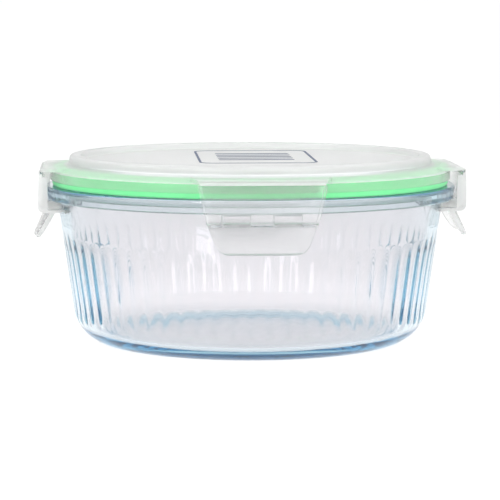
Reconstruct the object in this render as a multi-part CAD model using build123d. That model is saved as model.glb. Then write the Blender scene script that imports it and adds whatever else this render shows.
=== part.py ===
from build123d import *
from math import cos, hypot, radians, sin, sqrt, tan
import os

# Round fluted glass storage dish with a clip-on lid. Millimetres, +Z up.
# Origin: centre of the foot, on the surface that the dish stands on.
# Each piece is drawn where it sits with the lid clipped shut. The front latch faces -Y.

# Dish, driving sizes
DISH_HEIGHT = 77.0
RIM_RADIUS = 100.0
RIM_TAPER = 1.0              # how much narrower the rim band is at its lower edge
RIM_DEPTH = 6.5
RIM_ROUND = 1.1
WALL_DRAFT = 8.0             # degrees that the wall leans outwards
WALL_RADIUS_AT_FOOT = 84.0   # outer wall line carried down to z = 0
WALL_THICKNESS = 4.6
FLOOR_THICKNESS = 5.2
BASE_CORNER = 18.6
INNER_CORNER = 14.0
FOOT_RING_INNER = 60.0
FOOT_RECESS = 0.8
FOOT_RECESS_SLOPE = 2.0      # radial length of the step into the recess

# Flutes: shallow scoops down the outside of the wall
FLUTE_COUNT = 64
FLUTE_TOP = 53.0
FLUTE_DEPTH = 0.9
FLUTE_SCOOP_RADIUS = 9.0

# Lid cover
PANEL_TOP = 88.7
PANEL_RADIUS = 80.6
COVER_THICKNESS = 1.7
RING_TOP = 91.5
RING_INNER = 82.4
RING_OUTER = 88.2
RING_FOOT = 87.6
FLANGE_RADIUS = 97.3
FLANGE_EDGE = 84.8
SKIRT_BOTTOM = 79.8
SKIRT_THICKNESS = 1.0
GROOVE_INNER = 90.0
PLUG_RADIUS = 88.9
PLUG_BOTTOM = 73.2
PLUG_THICKNESS = 1.8

# Seal
SEAL_GAP = 0.2               # daylight over the rim, where the soft lip would press
SEAL_CLEAR = 0.1             # from the walls of its groove

# Wings, hinge films and latches; sizes are for the latch that faces +X
WING_TOP = 86.5
WING_BOTTOM = 84.9
WING_ROOT = 91.4             # radius inside the flange, clear of the seal groove
WING_END = 101.1
WING_ROOT_HALF = 32.0
HINGE_HALF = 29.0
FILM_THICKNESS = 0.5
FILM_OUTER = 102.0
FILM_TOP = 85.7
LATCH_TOP = 84.0
LATCH_INNER = 100.5
LATCH_OUTER = 102.05
BEAD_RADIUS = 3.0
BEAD_OUTER = 102.85
BEAD_BOTTOM = 65.2
SHELF_TOP = 66.4
SHELF_BOTTOM = 64.8
HOOK_TOP = 70.2
HOOK_INNER = 94.4            # concave face, concentric with the dish
HOOK_NEAR = 5.2
HOOK_FAR = 17.8
TAB_ROOT_OUTER = 100.0
TAB_ROOT_INNER = 97.4
TAB_TIP_OUTER = 105.6
TAB_TIP_INNER = 103.5
TAB_BOTTOM = 52.4
TAB_HALF_TOP = 24.5
TAB_HALF_BOTTOM = 19.6
TAB_CORNER = 8.5
WAIST_HALF = 26.4
WAIST_HEIGHT = 71.0
CHEEK_INNER = 98.0           # turned-in side edges of the plate
CHEEK_THICKNESS = 1.3
CHEEK_TOP = 82.6
LATCH_SIDES = {"front": -90, "right": 0, "back": 90, "left": 180}

# Blank label printed on the panel
LABEL_SIZE = (57.0, 88.0)
LABEL_CENTRE = (3.0, 17.0)
LABEL_CORNER = 7.0
LABEL_BORDER = 1.2
LABEL_INK = 0.12
LABEL_LINE_LENGTH = 37.0
LABEL_LINE_WIDTH = 2.8
LABEL_LINE_COUNT = 5
LABEL_LINE_PITCH = 10.5

CUT_MARGIN = 5.0             # how far a cutting tool runs past what it cuts


def outline(corners, plane=Plane.XZ):
    """Closed face from rows of (across, up, corner radius)."""
    with BuildSketch(plane) as face:
        with BuildLine():
            points = [(across, up) for across, up, _ in corners]
            radii = [radius for _, _, radius in corners]
            FilletPolyline(*points, radius=radii, close=True)
        make_face()
    return face.sketch


def turned(corners):
    """Ring or disc from its section on one side of the dish's axis."""
    return revolve(outline(corners), Axis.Z, 360)


def slab(corners, half_width):
    """Straight bar along Y from its section in the XZ plane."""
    return extrude(outline(corners), half_width, both=True)


def wall_radius(height):
    """Outer radius of the plain wall."""
    return WALL_RADIUS_AT_FOOT + height * tan(radians(WALL_DRAFT))


def glass_dish():
    """Bowl with a plain band, an overhanging rim, a foot ring and a fluted wall."""
    rim_bottom = DISH_HEIGHT - RIM_DEPTH
    inset = WALL_THICKNESS / cos(radians(WALL_DRAFT))
    floor_top = FOOT_RECESS + FLOOR_THICKNESS
    bowl = turned([
        (0, FOOT_RECESS, 0),
        (FOOT_RING_INNER - FOOT_RECESS_SLOPE, FOOT_RECESS, 0),
        (FOOT_RING_INNER, 0, 0),
        (WALL_RADIUS_AT_FOOT, 0, BASE_CORNER),
        (wall_radius(rim_bottom), rim_bottom, 0.6),
        (RIM_RADIUS - RIM_TAPER, rim_bottom, RIM_ROUND),
        (RIM_RADIUS, DISH_HEIGHT, RIM_ROUND),
        (wall_radius(DISH_HEIGHT) - inset, DISH_HEIGHT, 2 * RIM_ROUND),
        (wall_radius(floor_top) - inset, floor_top, INNER_CORNER),
        (0, floor_top, 0),
    ])
    return bowl - flute_cutters()


def flute_cutters():
    """Ball-ended bars that lie along the leaning wall, one for each flute."""
    half_chord = sqrt(FLUTE_SCOOP_RADIUS**2 - (FLUTE_SCOOP_RADIUS - FLUTE_DEPTH) ** 2)
    lean = radians(WALL_DRAFT)
    ball_height = FLUTE_TOP - half_chord * cos(lean)
    standoff = FLUTE_SCOOP_RADIUS - FLUTE_DEPTH
    centre = (
        wall_radius(ball_height) + standoff * cos(lean),
        0,
        ball_height - standoff * sin(lean),
    )
    length = ball_height + CUT_MARGIN
    bar = Sphere(FLUTE_SCOOP_RADIUS) + Pos(0, 0, -length / 2) * Cylinder(
        FLUTE_SCOOP_RADIUS, length
    )
    cutter = Pos(*centre) * Rot(0, WALL_DRAFT, 0) * bar
    return [Rot(0, 0, i * 360 / FLUTE_COUNT) * cutter for i in range(FLUTE_COUNT)]


def groove_roof(radius, offset=0.0):
    """Height of the sloping roof of the seal groove, less an offset."""
    fall = (RING_FOOT - FLANGE_EDGE) / (FLANGE_RADIUS - RING_OUTER)
    drop = COVER_THICKNESS * hypot(1, fall)
    return RING_FOOT - (radius - RING_OUTER) * fall - drop - offset


def lid_cover():
    """One-piece cover: panel, stacking ring, flange, skirt, plug wall and four wings."""
    skirt_inner = FLANGE_RADIUS - SKIRT_THICKNESS
    ring_under = RING_TOP - COVER_THICKNESS
    cover = turned([
        (0, PANEL_TOP, 0),
        (PANEL_RADIUS, PANEL_TOP, 1.0),
        (RING_INNER, RING_TOP, 1.3),
        (RING_OUTER - 0.6, RING_TOP, 1.7),
        (RING_OUTER, RING_FOOT, 0.8),
        (FLANGE_RADIUS, FLANGE_EDGE, 1.4),
        (FLANGE_RADIUS + 0.1, SKIRT_BOTTOM, 0.4),
        (skirt_inner + 0.1, SKIRT_BOTTOM, 0.3),
        (skirt_inner, groove_roof(skirt_inner), 0.3),
        (GROOVE_INNER, groove_roof(GROOVE_INNER), 0.3),
        (PLUG_RADIUS, PLUG_BOTTOM, 0.8),
        (PLUG_RADIUS - PLUG_THICKNESS, PLUG_BOTTOM, 0.6),
        (RING_OUTER - PLUG_THICKNESS, ring_under, 0.8),
        (RING_INNER + 1.0, ring_under, 0.8),
        (PANEL_RADIUS + 1.2, PANEL_TOP - COVER_THICKNESS, 0.8),
        (0, PANEL_TOP - COVER_THICKNESS, 0),
    ])
    for angle in LATCH_SIDES.values():
        cover += Rot(0, 0, angle) * wing()
    return cover


def wing():
    """Flat ear that reaches from the flange out to the straight hinge line."""
    start = WING_ROOT - 2 * CUT_MARGIN
    bar = slab([
        (start, WING_BOTTOM, 0),
        (WING_END, WING_BOTTOM, 0),
        (WING_END, FILM_TOP, 0),
        (WING_END - 1.6, WING_TOP, 1.5),
        (start, WING_TOP, 0),
    ], WING_ROOT_HALF)
    plan = outline([
        (start, -WING_ROOT_HALF, 0),
        (WING_ROOT - 2.0, -WING_ROOT_HALF, 3.0),
        (WING_END, -HINGE_HALF, 0.6),
        (WING_END, HINGE_HALF, 0.6),
        (WING_ROOT - 2.0, WING_ROOT_HALF, 3.0),
        (start, WING_ROOT_HALF, 0),
    ], Plane.XY)
    return (bar & extrude(plan, RING_TOP)) - Cylinder(WING_ROOT, 3 * RING_TOP)


def seal_ring():
    """Soft ring that fills the groove and stands on the rim of the dish."""
    inner = GROOVE_INNER + SEAL_CLEAR
    outer = FLANGE_RADIUS - SKIRT_THICKNESS - SEAL_CLEAR
    foot = DISH_HEIGHT + SEAL_GAP
    return turned([
        (inner, groove_roof(inner, SEAL_CLEAR), 0.4),
        (outer, groove_roof(outer, SEAL_CLEAR), 0.4),
        (outer, foot, 0.9),
        (inner + 2.4, foot, 0.6),
        (inner, foot + 2.2, 0.6),
    ])


def latch():
    """Plate with bead, cheeks and hooked shelf, and flared finger tab, for the +X side."""
    frame_bar = slab([
        (LATCH_INNER, LATCH_TOP, 0.3),
        (LATCH_OUTER, LATCH_TOP, 0.3),
        (BEAD_OUTER, BEAD_BOTTOM, BEAD_RADIUS),
        (HOOK_INNER - CUT_MARGIN, SHELF_BOTTOM, 0),
        (HOOK_INNER - CUT_MARGIN, SHELF_TOP, 0),
        (LATCH_INNER + 0.45, SHELF_TOP, 0.8),
    ], HINGE_HALF + CUT_MARGIN)
    body = frame_bar + hooks() + cheeks() - Cylinder(HOOK_INNER, 3 * DISH_HEIGHT)
    return (body + finger_tab()) & latch_front_shape()


def hooks():
    """Two blocks that catch under the rim."""
    width = HOOK_FAR - HOOK_NEAR
    depth = LATCH_INNER + 0.4 - HOOK_INNER + CUT_MARGIN
    block = Box(depth, width, HOOK_TOP - SHELF_BOTTOM)
    middle = HOOK_INNER - CUT_MARGIN + depth / 2
    height = (HOOK_TOP + SHELF_BOTTOM) / 2
    sides = [Pos(middle, side * (HOOK_NEAR + width / 2), height) * block for side in (-1, 1)]
    return sides[0] + sides[1]


def cheeks():
    """Turned-in edges down both sides of the plate, from the hinge to the shelf."""
    depth = LATCH_INNER + 0.4 - CHEEK_INNER
    height = CHEEK_TOP - SHELF_TOP + 0.6
    block = Box(depth, 3 * HINGE_HALF, height)
    placed = Pos(CHEEK_INNER + depth / 2, 0, CHEEK_TOP - height / 2) * block
    return placed - latch_front_shape(CHEEK_THICKNESS)


def finger_tab():
    """Flared lip, concentric with the dish."""
    root = SHELF_BOTTOM + 0.8
    section = outline([
        (TAB_ROOT_OUTER, root, 0),
        (TAB_TIP_OUTER, TAB_BOTTOM + 0.6, 0.9),
        (TAB_TIP_INNER, TAB_BOTTOM, 0.8),
        (TAB_ROOT_INNER, root, 0),
    ])
    sweep = 34
    return Rot(0, 0, -sweep / 2) * revolve(section, Axis.Z, sweep)


def latch_front_shape(inset=0.0):
    """Prism of the latch's outline as seen from outside, or of a narrower one."""
    right = [
        (HINGE_HALF - inset, LATCH_TOP + CUT_MARGIN, 0),
        (HINGE_HALF - inset, LATCH_TOP - 1.0, 2.0),
        (WAIST_HALF - inset, WAIST_HEIGHT, 20.0),
        (TAB_HALF_TOP - inset, SHELF_BOTTOM, 10.0),
        (TAB_HALF_BOTTOM - inset, TAB_BOTTOM, TAB_CORNER),
    ]
    left = [(-across, up, radius) for across, up, radius in reversed(right)]
    return Pos(WALL_RADIUS_AT_FOOT, 0, 0) * extrude(outline(right + left, Plane.YZ), 40)


def hinge_film():
    """Thin flexible strip that joins the wing to the latch round the corner."""
    return slab([
        (WING_END, FILM_TOP, 0),
        (FILM_OUTER, FILM_TOP, 0.8),
        (FILM_OUTER, LATCH_TOP, 0),
        (FILM_OUTER - FILM_THICKNESS, LATCH_TOP, 0),
        (FILM_OUTER - FILM_THICKNESS, FILM_TOP - FILM_THICKNESS, 0.3),
        (WING_END, FILM_TOP - FILM_THICKNESS, 0),
    ], HINGE_HALF - 0.6)


def lid_label():
    """Printed blank label: a rounded border and five empty writing lines."""
    width, depth = LABEL_SIZE
    ground = Plane.XY.offset(PANEL_TOP)
    inner = (width - 2 * LABEL_BORDER, depth - 2 * LABEL_BORDER)
    border = RectangleRounded(width, depth, LABEL_CORNER)
    border -= RectangleRounded(*inner, LABEL_CORNER - LABEL_BORDER)
    line = SlotOverall(LABEL_LINE_LENGTH, LABEL_LINE_WIDTH)
    shapes = [border]
    for i in range(LABEL_LINE_COUNT):
        shapes.append(Pos(0, (i - (LABEL_LINE_COUNT - 1) / 2) * LABEL_LINE_PITCH) * line)
    placed = [ground * Pos(*LABEL_CENTRE) * shape for shape in shapes]
    return Compound(children=[extrude(shape, LABEL_INK) for shape in placed])


def main():
    os.makedirs("parts", exist_ok=True)
    pieces = {
        "glass_dish": glass_dish(),
        "lid_cover": lid_cover(),
        "lid_label": lid_label(),
        "seal_ring": seal_ring(),
    }
    latch_shape = latch()
    film_shape = hinge_film()
    for side, angle in LATCH_SIDES.items():
        pieces[f"latch_{side}"] = Rot(0, 0, angle) * latch_shape
        pieces[f"hinge_film_{side}"] = Rot(0, 0, angle) * film_shape
    for name, piece in pieces.items():
        export_step(piece, f"parts/{name}.step")


main()
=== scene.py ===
"""Round fluted glass storage dish with a clip-on lid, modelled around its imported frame."""

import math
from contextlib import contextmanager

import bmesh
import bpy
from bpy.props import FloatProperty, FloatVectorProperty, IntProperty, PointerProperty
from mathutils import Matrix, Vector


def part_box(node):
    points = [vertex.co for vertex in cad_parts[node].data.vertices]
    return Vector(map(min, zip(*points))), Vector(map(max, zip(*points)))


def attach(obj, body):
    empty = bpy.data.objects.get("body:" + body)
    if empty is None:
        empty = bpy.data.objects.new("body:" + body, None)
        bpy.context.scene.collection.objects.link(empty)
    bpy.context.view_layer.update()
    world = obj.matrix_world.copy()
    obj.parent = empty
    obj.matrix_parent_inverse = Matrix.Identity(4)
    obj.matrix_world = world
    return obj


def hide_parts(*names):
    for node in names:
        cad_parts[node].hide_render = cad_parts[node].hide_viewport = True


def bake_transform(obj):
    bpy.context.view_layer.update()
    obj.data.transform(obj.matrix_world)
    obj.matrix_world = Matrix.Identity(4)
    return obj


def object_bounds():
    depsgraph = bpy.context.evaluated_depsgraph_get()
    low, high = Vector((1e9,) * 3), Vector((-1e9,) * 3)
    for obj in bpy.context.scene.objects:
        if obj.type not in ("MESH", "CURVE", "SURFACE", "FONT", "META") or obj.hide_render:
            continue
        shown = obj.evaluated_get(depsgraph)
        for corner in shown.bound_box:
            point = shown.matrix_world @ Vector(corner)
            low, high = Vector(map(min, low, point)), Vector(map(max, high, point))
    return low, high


bl_info = {
    "name": "Fluted Glass Container",
    "version": (1, 0, 0),
    "blender": (4, 5, 0),
    "location": "View3D > Sidebar > Container",
    "description": "Builds a round glass storage dish with its clip-on lid, seal and latches",
    "category": "Add Mesh",
}

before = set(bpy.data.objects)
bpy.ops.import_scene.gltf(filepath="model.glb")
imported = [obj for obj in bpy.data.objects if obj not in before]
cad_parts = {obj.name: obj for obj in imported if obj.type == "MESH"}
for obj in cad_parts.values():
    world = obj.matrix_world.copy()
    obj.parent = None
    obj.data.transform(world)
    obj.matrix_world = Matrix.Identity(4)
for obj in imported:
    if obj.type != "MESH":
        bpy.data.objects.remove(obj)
CAD_LOW, CAD_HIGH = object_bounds()

# Places read from the frame, in metres
DISH_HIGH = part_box("glass_dish")[1]
COVER_LOW, COVER_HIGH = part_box("lid_cover")
SEAL_LOW, SEAL_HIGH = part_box("seal_ring")
LATCH_LOW, LATCH_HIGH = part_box("latch_right")
FILM_LOW, FILM_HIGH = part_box("hinge_film_right")
LABEL_LOW, LABEL_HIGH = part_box("lid_label")

MM = 0.001
TURN = math.tau
ARC_STEP = math.radians(9)      # turn of each facet on a rounded corner
FINE_ARC_STEP = math.radians(4)
MERGE_GAP = 0.002 * MM          # vertices nearer than this are one
SEED_SIZE = 0.1 * MM            # the plane that is merged to a line's first vertex
TOOL_HEIGHT = 1.0               # of a round cutter, far taller than any piece
SPARE = 5 * MM                  # how far a part runs past the face that trims it
OUTLINE_DEPTH = 40 * MM         # how far a latch's front outline is extruded
SMOOTH_ANGLE = math.radians(32)
DISH_SMOOTH_ANGLE = math.radians(60)
EDGE_ANGLE = math.radians(40)   # edges that turn more than this are softened
LOWER_ROWS = (20 * MM, 27 * MM, 34 * MM, 41 * MM)  # heights of rows on the flutes' straight part
UPPER_ROWS = (3 * MM, 9 * MM)   # heights of rows above the flutes' tops
RIM_STEP = 0.1 * MM             # a place that stands out more than this is on the rim
FLUTE_MARGIN = 1 * MM           # fine rows run this far past each end of the flutes' tops
FLUTE_ROW = 0.5 * MM            # height between those rows
FADE_START = 0.3                # share of the fade height where the wall is still plain
LEAST_CUT = 0.004 * MM          # a shallower scoop isn't carved
SIDES = {"front": -90, "right": 0, "back": 90, "left": 180}

# The studio, in metres: each softbox has its place, then its width and height
FLOOR_SIZE = 120
FLOOR_GAP = 0.05 * MM           # between the foot and the floor
TOP_BOX = ((0, 0, 1.1), (1.2, 1.2))
LEFT_BOX = ((-0.6, -1.14, 0.36), (0.3, 0.6))
RIGHT_BOX = ((0.64, -1.12, 0.36), (0.3, 0.6))
SENSOR_WIDTH = 36               # millimetres
VIEW_DEPTH = 200                # how far the camera sees
BOUNCES = 32                    # light crosses many faces before it leaves the thick base


# ---------------------------------------------------------------- settings


def length(name, description, default):
    """A length setting, in metres."""
    return FloatProperty(name=name, description=description, default=default,
                         unit="LENGTH", subtype="DISTANCE", precision=5)


def angle(name, description, default):
    """An angle setting, in radians."""
    return FloatProperty(name=name, description=description, default=default,
                         unit="ROTATION", subtype="ANGLE")


def colour(name, description, default):
    """A colour setting: red, green and blue from 0 to 1."""
    return FloatVectorProperty(name=name, description=description, default=default,
                               subtype="COLOR", size=3, min=0, max=1)


def amount(name, description, default):
    """A plain number."""
    return FloatProperty(name=name, description=description, default=default)


def count(name, description, default):
    """A whole number, 3 or more."""
    return IntProperty(name=name, description=description, default=default, min=3)


class DishSizes(bpy.types.PropertyGroup):
    height: length("Height", "Foot to rim top", DISH_HIGH.z)
    rim_radius: length("Rim radius", "Widest radius, at the rim", round(DISH_HIGH.x, 3))
    rim_depth: length("Rim depth", "Height of the rim band", 6.5 * MM)
    rim_taper: length("Rim taper", "How much narrower the band is below", 1.0 * MM)
    rim_round: length("Rim rounding", "Radius of the rim's outer edges", 1.1 * MM)
    lean: angle("Lean", "How far the wall leans outwards", math.radians(8))
    foot_line: length("Wall radius at foot", "Wall line carried down to the foot", 84 * MM)
    wall: length("Wall", "Glass thickness of the wall", 4.6 * MM)
    floor: length("Floor", "Glass thickness of the floor", 5.2 * MM)
    base_corner: length("Base corner", "Outer radius under the wall", 18.6 * MM)
    inner_corner: length("Inner corner", "Inner radius round the floor", 10.4 * MM)
    foot_ring: length("Foot ring", "Inner radius of the foot ring", 60 * MM)
    foot_recess: length("Foot recess", "Height of the floor's underside", 0.8 * MM)
    foot_slope: length("Foot slope", "Length of the gentle rise into the recess", 14 * MM)
    flute_count: count("Flutes", "Scoops round the wall", 64)
    flute_top: length("Flute top", "Height of the flutes' rounded tops", 54 * MM)
    flute_arch: length("Flute arch", "Height of each rounded top", 9 * MM)
    flute_depth: length("Flute depth", "Deepest part of a scoop", 0.7 * MM)
    flute_scoop: length("Flute scoop", "Radius across a scoop", 11.5 * MM)
    ridge_round: length("Ridge rounding", "Softness of the ridges", 0.16 * MM)
    flute_fade: length("Flute fade", "Height over which the flutes run out below", 20 * MM)
    flute_ease: length("Flute ease", "Height over which the flutes start at the top", 16 * MM)
    flute_columns: count("Flute columns", "Facets across a flute", 12)


class LidSizes(bpy.types.PropertyGroup):
    panel_top: length("Panel top", "Height of the flat panel", LABEL_LOW.z)
    panel_radius: length("Panel radius", "Edge of the flat panel", 80.6 * MM)
    thickness: length("Thickness", "Wall of the moulding", 1.7 * MM)
    roof: length("Roof", "Wall of the flange, over the seal", 0.9 * MM)
    ring_top: length("Ring top", "Height of the stacking ring", COVER_HIGH.z)
    ring_inner: length("Ring inner", "Inner radius of the stacking ring", 82.4 * MM)
    ring_outer: length("Ring outer", "Outer radius of the stacking ring", 88.2 * MM)
    ring_foot: length("Ring foot", "Height where the flange starts", 87.6 * MM)
    flange_radius: length("Flange radius", "Outer radius of the flange", 97.3 * MM)
    flange_edge: length("Flange edge", "Height of the flange's rim", 84.8 * MM)
    skirt_bottom: length("Skirt bottom", "Height of the skirt's lower edge", 79.8 * MM)
    skirt: length("Skirt", "Thickness of the skirt", 1.0 * MM)
    groove_inner: length("Groove inner", "Inner radius of the seal groove", 90 * MM)
    plug_radius: length("Plug radius", "Radius of the wall inside the dish", 88.9 * MM)
    plug_bottom: length("Plug bottom", "Height of the plug wall's edge", COVER_LOW.z)
    plug: length("Plug", "Thickness of the plug wall", 1.8 * MM)
    wing_top: length("Wing top", "Height of the wings", 86.5 * MM)
    wing_bottom: length("Wing bottom", "Underside of the wings", 84.9 * MM)
    wing_root: length("Wing root", "Radius where a wing starts in the flange", 91.4 * MM)
    wing_end: length("Wing end", "Where the hinge starts", COVER_HIGH.x)
    wing_root_half: length("Wing root half", "Half width at the flange", 32 * MM)
    hinge_half: length("Hinge half", "Half width at the hinge", LATCH_HIGH.y)
    wing_edge: length("Wing edge", "Rounding of the wings' edges", 0.2 * MM)
    steps: count("Steps", "Facets round the lid", 256)


class SealSizes(bpy.types.PropertyGroup):
    inner: length("Inner", "Inner radius", 90.1 * MM)
    outer: length("Outer", "Outer radius, inside the skirt", SEAL_HIGH.x)
    inner_top: length("Inner top", "Height at the inner side, pressed against the lid", 86.12 * MM)
    outer_top: length("Outer top", "Height at the outer side", 84.2 * MM)
    foot: length("Foot", "Height of the lip", SEAL_LOW.z)
    lip: length("Lip", "How far the lip is set back inside", 2.4 * MM)
    lip_rise: length("Lip rise", "Height of the lip's slope", 2.2 * MM)


class LatchSizes(bpy.types.PropertyGroup):
    top: length("Top", "Upper edge, at the hinge", LATCH_HIGH.z)
    bottom: length("Bottom", "Tip of the tab", LATCH_LOW.z)
    inner: length("Inner", "Inner face of the plate", 100.5 * MM)
    outer: length("Outer", "Outer face of the plate", 102.05 * MM)
    bead_outer: length("Bead outer", "Outer face of the bead", 102.85 * MM)
    bead_bottom: length("Bead bottom", "Underside of the bead", 65.2 * MM)
    bead_round: length("Bead round", "Radius of the bead", 3 * MM)
    shelf_top: length("Shelf top", "Upper side of the shelf", 66.4 * MM)
    shelf_bottom: length("Shelf bottom", "Underside of the shelf", 64.8 * MM)
    hook_top: length("Hook top", "Face that catches the rim", 70.2 * MM)
    hook_inner: length("Hook inner", "Concave face towards the glass", LATCH_LOW.x)
    hook_near: length("Hook near", "Hook's side towards the middle", 5.2 * MM)
    hook_far: length("Hook far", "Hook's outer side", 17.8 * MM)
    tab_root_outer: length("Tab root outer", "Outer radius where the tab starts", 100 * MM)
    tab_root_inner: length("Tab root inner", "Inner radius where the tab starts", 97.4 * MM)
    tab_tip_outer: length("Tab tip outer", "Outer radius at the tip", 105.6 * MM)
    tab_tip_inner: length("Tab tip inner", "Inner radius at the tip", 103.5 * MM)
    tab_half_top: length("Tab half top", "Half width under the shelf", 24.5 * MM)
    tab_half_bottom: length("Tab half bottom", "Half width at the tip", 19.6 * MM)
    tab_corner: length("Tab corner", "Radius of the tip's corners", 8.5 * MM)
    waist_half: length("Waist half", "Half width at the waist", 26.4 * MM)
    waist: length("Waist", "Height of the waist", 71 * MM)
    cheek: length("Cheek", "Thickness of the turned-in edges", 1.3 * MM)
    cheek_inner: length("Cheek inner", "How far in the edges reach", 98 * MM)
    cheek_top: length("Cheek top", "Upper end of the turned-in edges", 82.6 * MM)
    edge: length("Edge", "Rounding of the moulded edges", 0.25 * MM)
    tab_sweep: angle("Tab sweep", "Arc about the dish that the tab is cut from", math.radians(34))
    film: length("Film", "Thickness of the hinge film", 0.5 * MM)
    film_bend: length("Film bend", "Outer radius of the film's corner", 0.8 * MM)
    film_lap: length("Film lap", "Straight end of the film on the latch", 0.4 * MM)


class LabelSizes(bpy.types.PropertyGroup):
    corner: length("Corner", "Radius of the label's corners", 7 * MM)
    border: length("Border", "Width of the border line", 1.2 * MM)
    line_length: length("Line length", "Length of a writing line", 37 * MM)
    line_width: length("Line width", "Width of a writing line", 2.8 * MM)
    line_pitch: length("Line pitch", "Space between writing lines", 10.5 * MM)
    line_count: count("Lines", "Number of writing lines", 5)


class Finishes(bpy.types.PropertyGroup):
    glass: colour("Glass", "Surface colour of the glass", (0.94, 0.874, 0.88))
    glass_depth: colour("Glass depth", "Colour that thick glass takes", (0.33, 0.75, 0.88))
    glass_density: amount("Glass density", "Absorption per metre", 33.0)
    plastic: colour("Clear plastic", "Colour of the polypropylene", (0.985, 0.99, 0.985))
    seal: colour("Seal", "Colour of the silicone", (0.2, 0.98, 0.38))
    ink: colour("Ink", "Colour of the print", (0.05, 0.07, 0.12))
    floor: colour("Floor", "Colour of the studio floor", (0.4, 0.4, 0.4))


class Studio(bpy.types.PropertyGroup):
    distance: length("Camera distance", "From the dish's axis, level", 1.2)
    eye: length("Camera height", "Above the floor", 0.1745)
    aim: length("Aim height", "Height that the camera looks at", 0.0441)
    azimuth: angle("Azimuth", "Turn of the camera round the dish", math.radians(-3.3))
    lens: FloatProperty(name="Lens", description="Focal length in millimetres", default=177.4)
    horizon: amount("Horizon", "Strength of the even light near the horizon", 1.0)
    zenith: amount("Zenith", "Strength of the even light overhead", 0.8)
    fade: amount("Fade", "Sine of the elevation where the overhead strength is reached", 0.7)
    side: amount("Side lights", "Power of each front softbox, in watts", 3.4)
    top: amount("Top light", "Power of the overhead softbox, in watts", 3.8)
    # Painted light: the floor's stronger glow under the dish is a painted pool of light that fills
    # the dish's shadow.
    painted_glow_under_dish: amount("Near glow", "Light given off by the floor under the dish", 0.9)
    near_edge: length("Near edge", "Radius of the floor that gives off the near glow", 0.1)
    far_glow: amount("Far glow", "Light given off by the floor far away", 0.68)
    far_edge: length("Far edge", "Radius where the far glow is reached", 0.3)


# ---------------------------------------------------------------- modelling by hand


def only(piece):
    """Makes the piece the one selected, active object."""
    bpy.ops.object.select_all(action="DESELECT")
    piece.select_set(True)
    bpy.context.view_layer.objects.active = piece


@contextmanager
def editing(piece):
    """Edit mode on one piece."""
    only(piece)
    bpy.ops.object.mode_set(mode="EDIT")
    bpy.ops.mesh.select_mode(type="VERT")
    yield
    bpy.ops.object.mode_set(mode="OBJECT")


def choose(piece, test):
    """Selects the vertices whose place passes the test, in edit mode."""
    mesh = bmesh.from_edit_mesh(piece.data)
    for vertex in mesh.verts:
        vertex.select_set(test(vertex.co))
    mesh.select_flush_mode()
    bmesh.update_edit_mesh(piece.data)


def rounded(corners, closed=True, step=ARC_STEP):
    """Points of an outline from rows of (across, up, corner radius), with its corners as arcs."""
    points = []
    for i, (across, up, radius) in enumerate(corners):
        here = Vector((across, up))
        if radius == 0 or (not closed and i in (0, len(corners) - 1)):
            points.append(here)
            continue
        back = (Vector(corners[i - 1][:2]) - here).normalized()
        ahead = (Vector(corners[(i + 1) % len(corners)][:2]) - here).normalized()
        opening = back.angle(ahead)
        centre = here + (back + ahead).normalized() * radius / math.sin(opening / 2)
        start = here + back * radius / math.tan(opening / 2) - centre
        turn = math.pi - opening
        if back.cross(ahead) > 0:
            turn = -turn
        facets = max(2, math.ceil(abs(turn) / step))
        for j in range(facets + 1):
            swing = turn * j / facets
            cosine, sine = math.cos(swing), math.sin(swing)
            points.append(centre + Vector((start.x * cosine - start.y * sine,
                                           start.x * sine + start.y * cosine)))
    return points


def standing(points, turn=0.0):
    """Places (across, up) points in the upright plane that is turned about the axis."""
    return [Vector((p.x * math.cos(turn), p.x * math.sin(turn), p.y)) for p in points]


def traced(name, points, closed=False):
    """Line of edges, drawn by extruding one vertex from point to point."""
    bpy.ops.object.select_all(action="DESELECT")
    bpy.ops.mesh.primitive_plane_add(size=SEED_SIZE, location=points[0])
    piece = bpy.context.object
    piece.name = piece.data.name = name
    bpy.ops.object.transform_apply(location=True)
    with editing(piece):
        bpy.ops.mesh.select_all(action="SELECT")
        bpy.ops.mesh.merge(type="CENTER")
        for here, there in zip(points, points[1:]):
            bpy.ops.mesh.extrude_vertices_move(TRANSFORM_OT_translate={"value": there - here})
        if closed:
            ends = (points[0], points[-1])
            choose(piece, lambda co: min((co - end).length for end in ends) < MERGE_GAP)
            bpy.ops.mesh.edge_face_add()
    return piece


def close_up():
    """Merges seams and turns every face outwards, in edit mode."""
    bpy.ops.mesh.select_mode(type="VERT")
    bpy.ops.mesh.select_all(action="SELECT")
    bpy.ops.mesh.remove_doubles(threshold=MERGE_GAP)
    bpy.ops.mesh.normals_make_consistent(inside=False)


def spun(name, section, steps, closed):
    """Body of revolution about the dish's axis."""
    piece = traced(name, standing(section), closed)
    with editing(piece):
        bpy.ops.mesh.select_all(action="SELECT")
        bpy.ops.mesh.spin(steps=steps, angle=TURN, center=(0, 0, 0), axis=(0, 0, 1))
        close_up()
    return piece


def bar(name, section, start, run):
    """Solid bar: a filled outline, extruded along run."""
    piece = traced(name, [point + Vector(start) for point in section], closed=True)
    with editing(piece):
        bpy.ops.mesh.select_all(action="SELECT")
        bpy.ops.mesh.edge_face_add()
        bpy.ops.mesh.extrude_region_move(TRANSFORM_OT_translate={"value": run})
        close_up()
    return piece


def discard(piece):
    """Removes a piece that was only a pattern or a tool."""
    only(piece)
    bpy.ops.object.delete()


def apply_modifier(piece, kind, **values):
    """Adds a modifier with these values and makes its result the mesh."""
    only(piece)
    bpy.ops.object.modifier_add(type=kind)
    modifier = piece.modifiers[-1]
    for key, value in values.items():
        setattr(modifier, key, value)
    bpy.ops.object.modifier_apply(modifier=modifier.name)


def combine(piece, tool, operation):
    """Boolean of the piece with a tool, which is used up."""
    apply_modifier(piece, "BOOLEAN", operation=operation, object=tool, solver="EXACT")
    discard(tool)
    only(piece)


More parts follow.
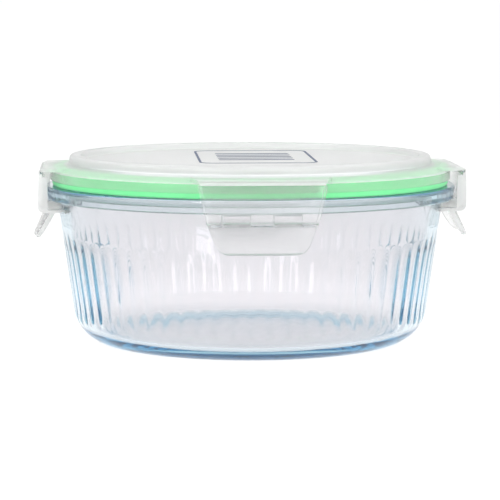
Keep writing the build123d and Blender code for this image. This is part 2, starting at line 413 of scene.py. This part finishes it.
def bore(piece, radius, facets):
    """Cuts away all that lies within the radius of the dish's axis."""
    bpy.ops.object.select_all(action="DESELECT")
    bpy.ops.mesh.primitive_cylinder_add(vertices=facets, radius=radius, depth=TOOL_HEIGHT)
    combine(piece, bpy.context.object, "DIFFERENCE")


def soften(piece, width):
    """Rounds the piece's sharp edges."""
    apply_modifier(piece, "BEVEL", width=width, segments=3, limit_method="ANGLE",
                   angle_limit=EDGE_ANGLE, use_clamp_overlap=True)


def turned_copy(piece, name, degrees):
    """Copy of the piece, with a mesh of its own, turned about the dish's axis."""
    copy = piece.copy()
    copy.data = piece.data.copy()
    copy.name = copy.data.name = name
    bpy.context.scene.collection.objects.link(copy)
    only(copy)
    copy.rotation_euler.z = math.radians(degrees)
    bpy.ops.object.transform_apply(rotation=True)
    return copy


def smooth(piece, limit=SMOOTH_ANGLE):
    """Shades the faces smoothly, apart from edges that turn more than the limit."""
    only(piece)
    bpy.ops.object.shade_smooth_by_angle(angle=limit)


def finished(piece, body, node, material):
    """Gives the piece its finish and its place in the frame."""
    piece.data.materials.clear()
    piece.data.materials.append(material)
    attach(piece, body)
    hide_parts(node)


# ---------------------------------------------------------------- finishes


def principled(name):
    """A fresh material, its node tree and its shader."""
    material = bpy.data.materials.new(name)
    material.use_nodes = True
    tree = material.node_tree
    return material, tree, tree.nodes["Principled BSDF"]


def noise(tree, scale, detail):
    """Noise in the piece's own coordinates; scale is in cycles per metre."""
    place = tree.nodes.new("ShaderNodeTexCoord")
    texture = tree.nodes.new("ShaderNodeTexNoise")
    texture.inputs["Scale"].default_value = scale
    texture.inputs["Detail"].default_value = detail
    tree.links.new(place.outputs["Object"], texture.inputs["Vector"])
    return texture.outputs["Fac"]


def spread(tree, source, low, high):
    """Maps noise, which lies mostly between 0.3 and 0.7, onto the range low to high."""
    node = tree.nodes.new("ShaderNodeMapRange")
    node.inputs["From Min"].default_value = 0.3
    node.inputs["From Max"].default_value = 0.7
    node.inputs["To Min"].default_value = low
    node.inputs["To Max"].default_value = high
    tree.links.new(source, node.inputs["Value"])
    return node.outputs["Result"]


def bump(tree, shader, source, strength, depth):
    """Raises and sinks the surface by a pattern, in shading only."""
    node = tree.nodes.new("ShaderNodeBump")
    node.inputs["Strength"].default_value = strength
    node.inputs["Distance"].default_value = depth
    tree.links.new(source, node.inputs["Height"])
    tree.links.new(node.outputs["Normal"], shader.inputs["Normal"])


def pressed_glass(finishes):
    """Clear pressed glass: faint ripples from the mould and a blue cast in its depth."""
    material, tree, shader = principled("Pressed glass")
    shader.inputs["Base Color"].default_value = (*finishes.glass, 1)
    shader.inputs["Transmission Weight"].default_value = 1.0
    shader.inputs["IOR"].default_value = 1.5
    ripple = noise(tree, scale=70, detail=1.0)
    tree.links.new(spread(tree, ripple, 0.0, 0.03), shader.inputs["Roughness"])
    bump(tree, shader, ripple, strength=0.12, depth=0.4 * MM)
    depth = tree.nodes.new("ShaderNodeVolumeAbsorption")
    depth.inputs["Color"].default_value = (*finishes.glass_depth, 1)
    depth.inputs["Density"].default_value = finishes.glass_density
    tree.links.new(depth.outputs["Volume"], tree.nodes["Material Output"].inputs["Volume"])
    return material


def polypropylene(finishes, name, clear, rough):
    """Natural polypropylene, with how clear and how rough it is."""
    material, tree, shader = principled(name)
    shader.inputs["Base Color"].default_value = (*finishes.plastic, 1)
    shader.inputs["Transmission Weight"].default_value = clear
    shader.inputs["IOR"].default_value = 1.36
    cloud = noise(tree, scale=60, detail=3.0)
    tree.links.new(spread(tree, cloud, rough, rough + 0.08), shader.inputs["Roughness"])
    bump(tree, shader, cloud, strength=0.015, depth=0.2 * MM)
    return material


def clear_plastic(finishes):
    """Polished faces: the skirt, the undersides and the latches' broad faces."""
    return polypropylene(finishes, "Clear polypropylene", clear=0.92, rough=0.14)


def satin_plastic(finishes):
    """Satin faces: the ring, the flange, the wings' tops, the latches' sides and the films."""
    return polypropylene(finishes, "Satin polypropylene", clear=0.62, rough=0.3)


def frosted_plastic(finishes):
    """The same polypropylene where the mould leaves a fine matt grain, on the panel."""
    material, tree, shader = principled("Frosted polypropylene")
    shader.inputs["Base Color"].default_value = (*finishes.plastic, 1)
    shader.inputs["Transmission Weight"].default_value = 0.5
    shader.inputs["IOR"].default_value = 1.45
    grain = noise(tree, scale=1400, detail=2.0)
    tree.links.new(spread(tree, grain, 0.42, 0.55), shader.inputs["Roughness"])
    bump(tree, shader, grain, strength=0.05, depth=0.03 * MM)
    return material


def silicone(finishes):
    """Soft satin silicone with a slight bloom on its surface."""
    material, tree, shader = principled("Green silicone")
    bloom = noise(tree, scale=240, detail=4.0)
    mix = tree.nodes.new("ShaderNodeMix")
    mix.data_type = "RGBA"
    deep, pale = mix.inputs[6], mix.inputs[7]
    deep.default_value = (*[c * 0.92 for c in finishes.seal], 1)
    pale.default_value = (*[c + (1 - c) * 0.08 for c in finishes.seal], 1)
    tree.links.new(bloom, mix.inputs[0])
    tree.links.new(mix.outputs[2], shader.inputs["Base Color"])
    tree.links.new(spread(tree, bloom, 0.38, 0.5), shader.inputs["Roughness"])
    shader.inputs["Subsurface Weight"].default_value = 0.2
    shader.inputs["Subsurface Radius"].default_value = (0.6, 1.0, 0.6)
    shader.inputs["Subsurface Scale"].default_value = 1.0 * MM
    bump(tree, shader, bloom, strength=0.1, depth=0.05 * MM)
    return material


def printed_ink(finishes):
    """Dark pad-printed ink, slightly uneven in its gloss and strength."""
    material, tree, shader = principled("Printed ink")
    speckle = noise(tree, scale=1500, detail=3.0)
    mix = tree.nodes.new("ShaderNodeMix")
    mix.data_type = "RGBA"
    mix.inputs[6].default_value = (*finishes.ink, 1)
    mix.inputs[7].default_value = (*[c * 2.2 for c in finishes.ink], 1)
    tree.links.new(speckle, mix.inputs[0])
    tree.links.new(mix.outputs[2], shader.inputs["Base Color"])
    tree.links.new(spread(tree, speckle, 0.45, 0.65), shader.inputs["Roughness"])
    return material


def assign(piece, finish):
    """Gives the selected faces one of the piece's own finishes, in edit mode."""
    piece.active_material_index = piece.data.materials.find(finish.name)
    bpy.ops.object.material_slot_assign()


def finish_named(name, maker):
    """The material of that name, made the first time that it is asked for."""
    made = bpy.data.materials.get(name)
    return made or maker(bpy.context.scene.container_finishes)


# ---------------------------------------------------------------- the dish


def wall_radius(sizes, height):
    """Radius of the plain outer wall at a height."""
    return sizes.foot_line + height * math.tan(sizes.lean)


def dish_section(sizes):
    """Half section of the dish from the axis, round the outside and back along the inside."""
    s = sizes
    inset = s.wall / math.cos(s.lean)
    floor_top = s.foot_recess + s.floor
    rim_bottom = s.height - s.rim_depth
    arch_foot = s.flute_top - s.flute_arch - FLUTE_MARGIN
    arch_rows = round((s.flute_arch + 2 * FLUTE_MARGIN) / FLUTE_ROW)
    wall_rows = list(LOWER_ROWS)
    wall_rows += [arch_foot + i * FLUTE_ROW for i in range(arch_rows)]
    wall_rows += [s.flute_top + row for row in UPPER_ROWS]
    return [
        (0, s.foot_recess, 0),
        (s.foot_ring / 3, s.foot_recess, 0),
        (s.foot_ring - s.foot_slope, s.foot_recess, 8 * MM),
        (s.foot_ring, 0, 8 * MM),
        (s.foot_line, 0, s.base_corner),
        *[(wall_radius(s, row), row, 0) for row in wall_rows],
        (wall_radius(s, rim_bottom), rim_bottom, 0.6 * MM),
        (s.rim_radius - s.rim_taper, rim_bottom, s.rim_round),
        (s.rim_radius, s.height, s.rim_round),
        (wall_radius(s, s.height) - inset, s.height, 2 * s.rim_round),
        (wall_radius(s, s.height / 2) - inset, s.height / 2, 0),
        (wall_radius(s, floor_top) - inset, floor_top, s.inner_corner),
        (s.foot_ring / 3, floor_top, 0),
        (0, floor_top, 0),
    ]


def flute_depth(sizes, place):
    """How deep the scoop is at a place on the plain dish; its top is a flattened ball end.

    A place inside the wall moves less by its depth, so the inner face stays as it is, and the rim,
    which stands out from the wall, isn't cut at all.
    """
    s = sizes
    radius = math.hypot(place.x, place.y)
    out = radius - s.foot_line
    along = out * math.sin(s.lean) + place.z * math.cos(s.lean)
    inside = place.z * math.sin(s.lean) - out * math.cos(s.lean)
    if inside < -RIM_STEP:
        return 0.0
    across = math.atan2(place.y, place.x) * radius
    reach = s.flute_scoop - s.flute_depth
    half_chord = math.sqrt(s.flute_scoop**2 - reach**2)
    arch_start = (s.flute_top - s.flute_arch) / math.cos(s.lean)
    beyond = max(0.0, along - arch_start) * half_chord / s.flute_arch
    scoop = math.sqrt(max(0.0, s.flute_scoop**2 - across**2 - beyond**2)) - reach
    cut = scoop - max(0.0, inside)
    full = (cut + math.hypot(cut, s.ridge_round)) / 2
    rise = min(1.0, max(0.0, place.z / s.flute_fade - FADE_START) / (1 - FADE_START))
    ease = min(1.0, max(0.0, s.flute_top + FLUTE_MARGIN - place.z) / s.flute_ease)
    return full * rise * rise * (3 - 2 * rise) * ease * (2 - ease)


def carve_flute(piece, sizes):
    """Pushes the outer wall of one sector in by the depth of its scoop, vertex by vertex."""
    inward = Vector((-math.cos(sizes.lean), 0, math.sin(sizes.lean)))
    places = [vertex.co.copy() for vertex in bmesh.from_edit_mesh(piece.data).verts]
    for index, place in enumerate(places):
        depth = flute_depth(sizes, place)
        if depth < LEAST_CUT:
            continue
        mesh = bmesh.from_edit_mesh(piece.data)
        mesh.verts.ensure_lookup_table()
        bpy.ops.mesh.select_all(action="DESELECT")
        mesh.verts[index].select_set(True)
        bearing = Vector((place.x, place.y)).normalized()
        move = Vector((inward.x * bearing.x, inward.x * bearing.y, inward.z)) * depth
        bpy.ops.transform.translate(value=move)


def add_dish():
    """One sector is spun and carved, then copied round the axis."""
    sizes = bpy.context.scene.container_dish
    sector = TURN / sizes.flute_count
    section = rounded(dish_section(sizes), closed=False, step=FINE_ARC_STEP)
    piece = traced("glass_dish_fluted", standing(section, sector / 2))
    with editing(piece):
        bpy.ops.mesh.select_all(action="SELECT")
        bpy.ops.mesh.spin(steps=sizes.flute_columns, angle=sector, center=(0, 0, 0), axis=(0, 0, 1))
        close_up()
        carve_flute(piece, sizes)
        bpy.ops.mesh.select_all(action="SELECT")
        bpy.ops.mesh.spin(steps=sizes.flute_count - 1, angle=TURN - sector, dupli=True,
                          center=(0, 0, 0), axis=(0, 0, 1))
        close_up()
    smooth(piece, DISH_SMOOTH_ANGLE)
    finished(piece, "dish", "glass_dish", finish_named("Pressed glass", pressed_glass))


# ---------------------------------------------------------------- the lid


def groove_roof(sizes, radius):
    """Height of the sloping roof of the seal groove."""
    fall = (sizes.ring_foot - sizes.flange_edge) / (sizes.flange_radius - sizes.ring_outer)
    return sizes.ring_foot - (radius - sizes.ring_outer) * fall - sizes.roof * math.hypot(1, fall)


def cover_section(sizes):
    """Half section of the cover from the axis, over the top and back along the underside."""
    s = sizes
    skirt_inner = s.flange_radius - s.skirt
    ring_under = s.ring_top - s.thickness
    return [
        (0, s.panel_top, 0),
        (s.panel_radius / 2, s.panel_top, 0),
        (s.panel_radius, s.panel_top, 1.0 * MM),
        (s.ring_inner, s.ring_top, 1.3 * MM),
        (s.ring_outer - 0.6 * MM, s.ring_top, 1.7 * MM),
        (s.ring_outer, s.ring_foot, 0.8 * MM),
        (s.flange_radius, s.flange_edge, 1.4 * MM),
        (s.flange_radius + 0.1 * MM, s.skirt_bottom, 0.4 * MM),
        (skirt_inner + 0.1 * MM, s.skirt_bottom, 0.3 * MM),
        (skirt_inner, groove_roof(s, skirt_inner), 0.3 * MM),
        (s.groove_inner, groove_roof(s, s.groove_inner), 0.3 * MM),
        (s.plug_radius, s.plug_bottom, 0.8 * MM),
        (s.plug_radius - s.plug, s.plug_bottom, 0.6 * MM),
        (s.ring_outer - s.plug, ring_under, 0.8 * MM),
        (s.ring_inner + 1.0 * MM, ring_under, 0.8 * MM),
        (s.panel_radius + 1.2 * MM, s.panel_top - s.thickness, 0.8 * MM),
        (s.panel_radius / 2, s.panel_top - s.thickness, 0),
        (0, s.panel_top - s.thickness, 0),
    ]


def wing(sizes):
    """Ear from the round flange to the straight hinge line, with soft edges."""
    s = sizes
    start = s.wing_root - 10 * MM
    section = rounded([
        (start, s.wing_bottom, 0),
        (s.wing_end, s.wing_bottom, 0),
        (s.wing_end, FILM_HIGH.z, 0),
        (s.wing_end - 1.6 * MM, s.wing_top, 1.5 * MM),
        (start, s.wing_top, 0),
    ])
    half = s.wing_root_half
    piece = bar("wing", standing(section), (0, -half, 0), (0, 2 * half, 0))
    plan = rounded([
        (start - 1 * MM, -half - 1 * MM, 0),
        (s.wing_root - 2.0 * MM, -half, 3 * MM),
        (s.wing_end, -s.hinge_half, 0.6 * MM),
        (s.wing_end, s.hinge_half, 0.6 * MM),
        (s.wing_root - 2.0 * MM, half, 3 * MM),
        (start - 1 * MM, half + 1 * MM, 0),
    ])
    lowest = s.wing_bottom - SPARE
    outline = [Vector((p.x, p.y, lowest)) for p in plan]
    combine(piece, bar("plan", outline, (0, 0, 0), (0, 0, 20 * MM)), "INTERSECT")
    bore(piece, s.wing_root, s.steps)
    soften(piece, s.wing_edge)
    return piece


def add_cover():
    """The spun cover with four wings; its upper side is satin and its panel is frosted."""
    sizes = bpy.context.scene.container_lid
    piece = spun("lid_cover_moulded", rounded(cover_section(sizes), closed=False), sizes.steps, False)
    first = wing(sizes)
    for degrees in SIDES.values():
        combine(piece, turned_copy(first, "wing_tool", degrees), "UNION")
    discard(first)
    smooth(piece)
    finished(piece, "lid", "lid_cover",
             finish_named("Clear polypropylene", clear_plastic))
    frosted = finish_named("Frosted polypropylene", frosted_plastic)
    satin = finish_named("Satin polypropylene", satin_plastic)
    piece.data.materials.append(frosted)
    piece.data.materials.append(satin)
    satin_foot = sizes.flange_edge - 1 * MM
    panel_edge = sizes.panel_radius + 0.2 * MM
    with editing(piece):
        choose(piece, lambda co: co.z > satin_foot)
        assign(piece, satin)
        choose(piece, lambda co: math.hypot(co.x, co.y) < panel_edge)
        assign(piece, frosted)


def add_seal():
    """The seal, with its lip set back on the inner side."""
    s = bpy.context.scene.container_seal
    section = rounded([
        (s.inner, s.inner_top, 0.4 * MM),
        (s.outer, s.outer_top, 0.4 * MM),
        (s.outer, s.foot, 0.9 * MM),
        (s.inner + s.lip, s.foot, 0.6 * MM),
        (s.inner, s.foot + s.lip_rise, 0.6 * MM),
    ])
    piece = spun("seal_ring_soft", section, bpy.context.scene.container_lid.steps, True)
    smooth(piece)
    finished(piece, "lid", "seal_ring", finish_named("Green silicone", silicone))


def rounded_plate(name, width, depth, corner, height, centre, thickness):
    """Flat plate with rounded corners: a plane, shaped by bevel and extrude."""
    bpy.ops.object.select_all(action="DESELECT")
    bpy.ops.mesh.primitive_plane_add(size=1, location=(centre.x, centre.y, height))
    piece = bpy.context.object
    piece.name = piece.data.name = name
    piece.scale = (width, depth, 1)
    bpy.ops.object.transform_apply(location=True, scale=True)
    with editing(piece):
        bpy.ops.mesh.select_all(action="SELECT")
        bpy.ops.mesh.bevel(offset=corner, offset_type="OFFSET", segments=8, affect="VERTICES")
        bpy.ops.mesh.select_all(action="SELECT")
        bpy.ops.mesh.extrude_region_move(TRANSFORM_OT_translate={"value": (0, 0, thickness)})
        close_up()
    return piece


def add_label():
    """Blank printed label: a border and its writing lines."""
    s = bpy.context.scene.container_label
    width, depth = LABEL_HIGH.x - LABEL_LOW.x, LABEL_HIGH.y - LABEL_LOW.y
    centre = (LABEL_LOW + LABEL_HIGH) / 2
    ink = LABEL_HIGH.z - LABEL_LOW.z
    floor = LABEL_LOW.z
    piece = rounded_plate("lid_label_print", width, depth, s.corner, floor, centre, ink)
    hole = rounded_plate("hole", width - 2 * s.border, depth - 2 * s.border,
                         s.corner - s.border, floor - ink, centre, 3 * ink)
    combine(piece, hole, "DIFFERENCE")
    line_end = s.line_width / 2.01  # just short of a half circle
    for i in range(s.line_count):
        middle = centre + Vector((0, (i - (s.line_count - 1) / 2) * s.line_pitch, 0))
        line = rounded_plate("line", s.line_length, s.line_width, line_end, floor, middle, ink)
        combine(piece, line, "UNION")
    smooth(piece)
    finished(piece, "lid", "lid_label", finish_named("Printed ink", printed_ink))


# ---------------------------------------------------------------- the latches


def latch_outline(sizes, inset):
    """The latch's outline as seen from outside, mirrored about its middle."""
    s = sizes
    half = [
        (LATCH_HIGH.y - inset, s.top + SPARE, 0),
        (LATCH_HIGH.y - inset, s.top - 1 * MM, 2 * MM),
        (s.waist_half - inset, s.waist, 20 * MM),
        (s.tab_half_top - inset, s.shelf_bottom, 10 * MM),
        (s.tab_half_bottom - inset, s.bottom, s.tab_corner),
    ]
    mirrored = [(-across, up, radius) for across, up, radius in reversed(half)]
    return rounded(half + mirrored, step=math.radians(6))


def latch_frame(sizes):
    """Plate, bead and shelf as one bar."""
    s = sizes
    back = s.hook_inner - SPARE
    section = rounded([
        (s.inner, s.top, 0.3 * MM),
        (s.outer, s.top, 0.3 * MM),
        (s.bead_outer, s.bead_bottom, s.bead_round),
        (back, s.shelf_bottom, 0),
        (back, s.shelf_top, 0),
        (s.inner + 0.45 * MM, s.shelf_top, 0.8 * MM),
    ])
    half = LATCH_HIGH.y + SPARE
    return bar("latch", standing(section), (0, -half, 0), (0, 2 * half, 0))


def hook(sizes, side):
    """Block on the shelf that catches under the rim, on one side of the middle."""
    s = sizes
    back, face = s.hook_inner - SPARE, s.inner + 0.4 * MM
    section = rounded([
        (back, s.shelf_bottom + 0.4 * MM, 0),
        (face, s.shelf_bottom + 0.4 * MM, 0),
        (face, s.hook_top, 0),
        (back, s.hook_top, 0),
    ])
    near = s.hook_near if side > 0 else -s.hook_far
    return bar("hook", standing(section), (0, near, 0), (0, s.hook_far - s.hook_near, 0))


def outline_prism(sizes, inset=0.0):
    """Solid of the latch's front outline, or of a narrower one."""
    start = sizes.hook_inner - OUTLINE_DEPTH / 2
    outline = [Vector((start, p.x, p.y)) for p in latch_outline(sizes, inset)]
    return bar("outline", outline, (0, 0, 0), (OUTLINE_DEPTH, 0, 0))


def cheeks(sizes):
    """Turned-in edges down both sides of the plate."""
    s = sizes
    section = rounded([
        (s.cheek_inner, s.shelf_top - 0.6 * MM, 0),
        (s.inner + 0.4 * MM, s.shelf_top - 0.6 * MM, 0),
        (s.inner + 0.4 * MM, s.cheek_top, 0),
        (s.cheek_inner, s.cheek_top, 0),
    ])
    half = LATCH_HIGH.y + SPARE
    piece = bar("cheeks", standing(section), (0, -half, 0), (0, 2 * half, 0))
    combine(piece, outline_prism(s, s.cheek), "DIFFERENCE")
    return piece


def finger_tab(sizes):
    """Flared lip: a filled section, spun through a short arc about the dish's axis."""
    s = sizes
    root = s.shelf_bottom + 0.8 * MM
    section = rounded([
        (s.tab_root_outer, root, 0),
        (s.tab_tip_outer, s.bottom + 0.6 * MM, 0.9 * MM),
        (s.tab_tip_inner, s.bottom, 0.8 * MM),
        (s.tab_root_inner, root, 0),
    ])
    piece = traced("tab", standing(section, s.tab_sweep / 2), closed=True)
    with editing(piece):
        bpy.ops.mesh.select_all(action="SELECT")
        bpy.ops.mesh.edge_face_add()
        bpy.ops.mesh.spin(steps=28, angle=s.tab_sweep, center=(0, 0, 0), axis=(0, 0, 1))
        close_up()
    return piece


def satin_sides(piece):
    """Gives the faces that look along the hinge line, or against it, a satin finish."""
    satin = finish_named("Satin polypropylene", satin_plastic)
    piece.data.materials.append(satin)
    with editing(piece):
        bpy.ops.mesh.select_mode(type="FACE")
        for face in bmesh.from_edit_mesh(piece.data).faces:
            face.select_set(abs(face.normal.y) > 0.5)
        assign(piece, satin)


def latch(sizes):
    """One latch, for the side that faces +X."""
    piece = latch_frame(sizes)
    for side in (-1, 1):
        combine(piece, hook(sizes, side), "UNION")
    combine(piece, cheeks(sizes), "UNION")
    bore(piece, sizes.hook_inner, 360)
    combine(piece, finger_tab(sizes), "UNION")
    combine(piece, outline_prism(sizes), "INTERSECT")
    soften(piece, sizes.edge)
    smooth(piece)
    piece.data.materials.clear()
    piece.data.materials.append(finish_named("Clear polypropylene", clear_plastic))
    satin_sides(piece)
    return piece


def add_latches():
    """One latch, copied to the four sides."""
    first = latch(bpy.context.scene.container_latch)
    for side, degrees in SIDES.items():
        piece = turned_copy(first, f"latch_{side}_moulded", degrees)
        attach(piece, f"latch_{side}")
        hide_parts(f"latch_{side}")
    discard(first)


def film(sizes):
    """Thin strip round the corner between wing and latch."""
    s = sizes
    inner, under = FILM_HIGH.x - s.film, FILM_HIGH.z - s.film
    lap_top = FILM_LOW.z + s.film_lap
    section = rounded([
        (FILM_LOW.x, FILM_HIGH.z, 0),
        (FILM_HIGH.x, FILM_HIGH.z, s.film_bend),
        (FILM_HIGH.x, lap_top, 0),
        (FILM_HIGH.x, FILM_LOW.z, 0),
        (inner, FILM_LOW.z, 0),
        (inner, lap_top, 0),
        (inner, under, s.film_bend - s.film),
        (FILM_LOW.x, under, 0),
    ])
    run = FILM_HIGH.y - FILM_LOW.y
    piece = bar("film", standing(section), (0, FILM_LOW.y, 0), (0, run, 0))
    smooth(piece)
    return piece


def add_films():
    """One hinge film, copied to the four sides; each bends from the wing to its latch."""
    sizes = bpy.context.scene.container_latch
    first = film(sizes)
    plastic = finish_named("Satin polypropylene", satin_plastic)
    for side, degrees in SIDES.items():
        piece = turned_copy(first, f"hinge_film_{side}_moulded", degrees)
        piece.data.materials.clear()
        piece.data.materials.append(plastic)
        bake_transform(piece)
        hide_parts(f"hinge_film_{side}")
    discard(first)


# ---------------------------------------------------------------- the studio


def add_floor(finishes, studio):
    """Floor that gives off light, a little more of it under the dish than far away: the glow is
    painted light, and the extra glow under the dish is a painted pool of light that fills the dish's
    shadow.
    """
    bpy.ops.object.select_all(action="DESELECT")
    bpy.ops.mesh.primitive_plane_add(size=FLOOR_SIZE, location=(0, 0, CAD_LOW.z - FLOOR_GAP))
    floor = bpy.context.object
    floor.name = "studio_floor"
    material, tree, shader = principled("Studio floor")
    shader.inputs["Base Color"].default_value = (*finishes.floor, 1)
    shader.inputs["Roughness"].default_value = 0.9
    shader.inputs["Specular IOR Level"].default_value = 0.0
    place = tree.nodes.new("ShaderNodeTexCoord")
    radius = tree.nodes.new("ShaderNodeVectorMath")
    radius.operation = "LENGTH"
    # Painted light: the floor glows, and glows more strongly under the dish, as a painted pool of
    # light over the dish's shadow.
    glow = tree.nodes.new("ShaderNodeMapRange")
    glow.inputs["From Min"].default_value = studio.near_edge
    glow.inputs["From Max"].default_value = studio.far_edge
    glow.inputs["To Min"].default_value = studio.painted_glow_under_dish
    glow.inputs["To Max"].default_value = studio.far_glow
    shader.inputs["Emission Color"].default_value = (1, 1, 1, 1)
    tree.links.new(place.outputs["Object"], radius.inputs[0])
    tree.links.new(radius.outputs["Value"], glow.inputs["Value"])
    tree.links.new(glow.outputs["Result"], shader.inputs["Emission Strength"])
    floor.data.materials.append(material)


def add_world(studio):
    """Even light all round, strongest near the horizon."""
    world = bpy.data.worlds.new("Studio")
    world.use_nodes = True
    tree = world.node_tree
    place = tree.nodes.new("ShaderNodeTexCoord")
    split = tree.nodes.new("ShaderNodeSeparateXYZ")
    fade = tree.nodes.new("ShaderNodeMapRange")
    fade.inputs["From Max"].default_value = studio.fade
    fade.inputs["To Min"].default_value = studio.horizon
    fade.inputs["To Max"].default_value = studio.zenith
    background = tree.nodes["Background"]
    background.inputs["Color"].default_value = (1, 1, 1, 1)
    tree.links.new(place.outputs["Generated"], split.inputs["Vector"])
    tree.links.new(split.outputs["Z"], fade.inputs["Value"])
    tree.links.new(fade.outputs["Result"], background.inputs["Strength"])
    bpy.context.scene.world = world


def add_softbox(name, box, aim, power):
    """Soft light from a rectangle that faces the aim."""
    place, size = box
    bpy.ops.object.light_add(type="AREA", location=place)
    lamp = bpy.context.object
    lamp.name = name
    lamp.data.shape = "RECTANGLE"
    lamp.data.size, lamp.data.size_y = size
    lamp.data.energy = power
    lamp.rotation_euler = (Vector(aim) - Vector(place)).to_track_quat("-Z", "Y").to_euler()


def add_camera(studio):
    """Camera in front of the dish, a little above the rim."""
    place = Vector((math.sin(studio.azimuth) * studio.distance,
                    -math.cos(studio.azimuth) * studio.distance, studio.eye))
    aim = Vector((0, 0, studio.aim))
    bpy.ops.object.camera_add(location=place)
    camera = bpy.context.object
    camera.rotation_euler = (aim - place).to_track_quat("-Z", "Y").to_euler()
    camera.data.lens = studio.lens
    camera.data.sensor_width = SENSOR_WIDTH
    camera.data.clip_end = VIEW_DEPTH
    bpy.context.scene.camera = camera


def add_studio():
    """Floor, lights and camera."""
    scene = bpy.context.scene
    studio = scene.container_studio
    scene.view_settings.view_transform = "Standard"
    add_world(studio)
    add_floor(scene.container_finishes, studio)
    centre = (0, 0, CAD_HIGH.z / 2)
    add_softbox("softbox_top", TOP_BOX, centre, studio.top)
    add_softbox("softbox_left", LEFT_BOX, centre, studio.side)
    add_softbox("softbox_right", RIGHT_BOX, centre, studio.side)
    add_camera(studio)
    scene.cycles.max_bounces = BOUNCES
    scene.cycles.glossy_bounces = BOUNCES
    scene.cycles.transmission_bounces = BOUNCES


# ---------------------------------------------------------------- operators and panel


class CONTAINER_OT_dish(bpy.types.Operator):
    """Add the fluted glass dish"""
    bl_idname = "container.dish"
    bl_label = "Glass dish"

    def execute(self, context):
        add_dish()
        return {"FINISHED"}


class CONTAINER_OT_cover(bpy.types.Operator):
    """Add the moulded lid cover with its ring, flange and wings"""
    bl_idname = "container.cover"
    bl_label = "Lid cover"

    def execute(self, context):
        add_cover()
        return {"FINISHED"}


class CONTAINER_OT_seal(bpy.types.Operator):
    """Add the silicone seal"""
    bl_idname = "container.seal"
    bl_label = "Seal"

    def execute(self, context):
        add_seal()
        return {"FINISHED"}


class CONTAINER_OT_label(bpy.types.Operator):
    """Add the blank printed label"""
    bl_idname = "container.label"
    bl_label = "Label"

    def execute(self, context):
        add_label()
        return {"FINISHED"}


class CONTAINER_OT_latches(bpy.types.Operator):
    """Add the four latches"""
    bl_idname = "container.latches"
    bl_label = "Latches"

    def execute(self, context):
        add_latches()
        return {"FINISHED"}


class CONTAINER_OT_films(bpy.types.Operator):
    """Add the four hinge films"""
    bl_idname = "container.films"
    bl_label = "Hinge films"

    def execute(self, context):
        add_films()
        return {"FINISHED"}


class CONTAINER_OT_studio(bpy.types.Operator):
    """Add the floor, the lights and the camera"""
    bl_idname = "container.studio"
    bl_label = "Studio"

    def execute(self, context):
        add_studio()
        return {"FINISHED"}


class CONTAINER_PT_sidebar(bpy.types.Panel):
    bl_idname = "CONTAINER_PT_sidebar"
    bl_label = "Fluted glass container"
    bl_space_type = "VIEW_3D"
    bl_region_type = "UI"
    bl_category = "Container"

    def draw(self, context):
        for operator in OPERATORS:
            self.layout.operator(operator.bl_idname)


OPERATORS = (
    CONTAINER_OT_dish,
    CONTAINER_OT_cover,
    CONTAINER_OT_seal,
    CONTAINER_OT_label,
    CONTAINER_OT_latches,
    CONTAINER_OT_films,
    CONTAINER_OT_studio,
)
SETTINGS = {
    "container_dish": DishSizes,
    "container_lid": LidSizes,
    "container_seal": SealSizes,
    "container_latch": LatchSizes,
    "container_label": LabelSizes,
    "container_finishes": Finishes,
    "container_studio": Studio,
}


def register():
    for group in SETTINGS.values():
        bpy.utils.register_class(group)
    for name, group in SETTINGS.items():
        setattr(bpy.types.Scene, name, PointerProperty(type=group))
    for operator in OPERATORS:
        bpy.utils.register_class(operator)
    bpy.utils.register_class(CONTAINER_PT_sidebar)


def unregister():
    bpy.utils.unregister_class(CONTAINER_PT_sidebar)
    for operator in reversed(OPERATORS):
        bpy.utils.unregister_class(operator)
    for name, group in SETTINGS.items():
        delattr(bpy.types.Scene, name)
        bpy.utils.unregister_class(group)


def main():
    """Registers the add-on, and builds every piece and the studio."""
    register()
    bpy.ops.container.dish()
    bpy.ops.container.cover()
    bpy.ops.container.seal()
    bpy.ops.container.label()
    bpy.ops.container.latches()
    bpy.ops.container.films()
    bpy.ops.container.studio()


if __name__ == "__main__":
    main()
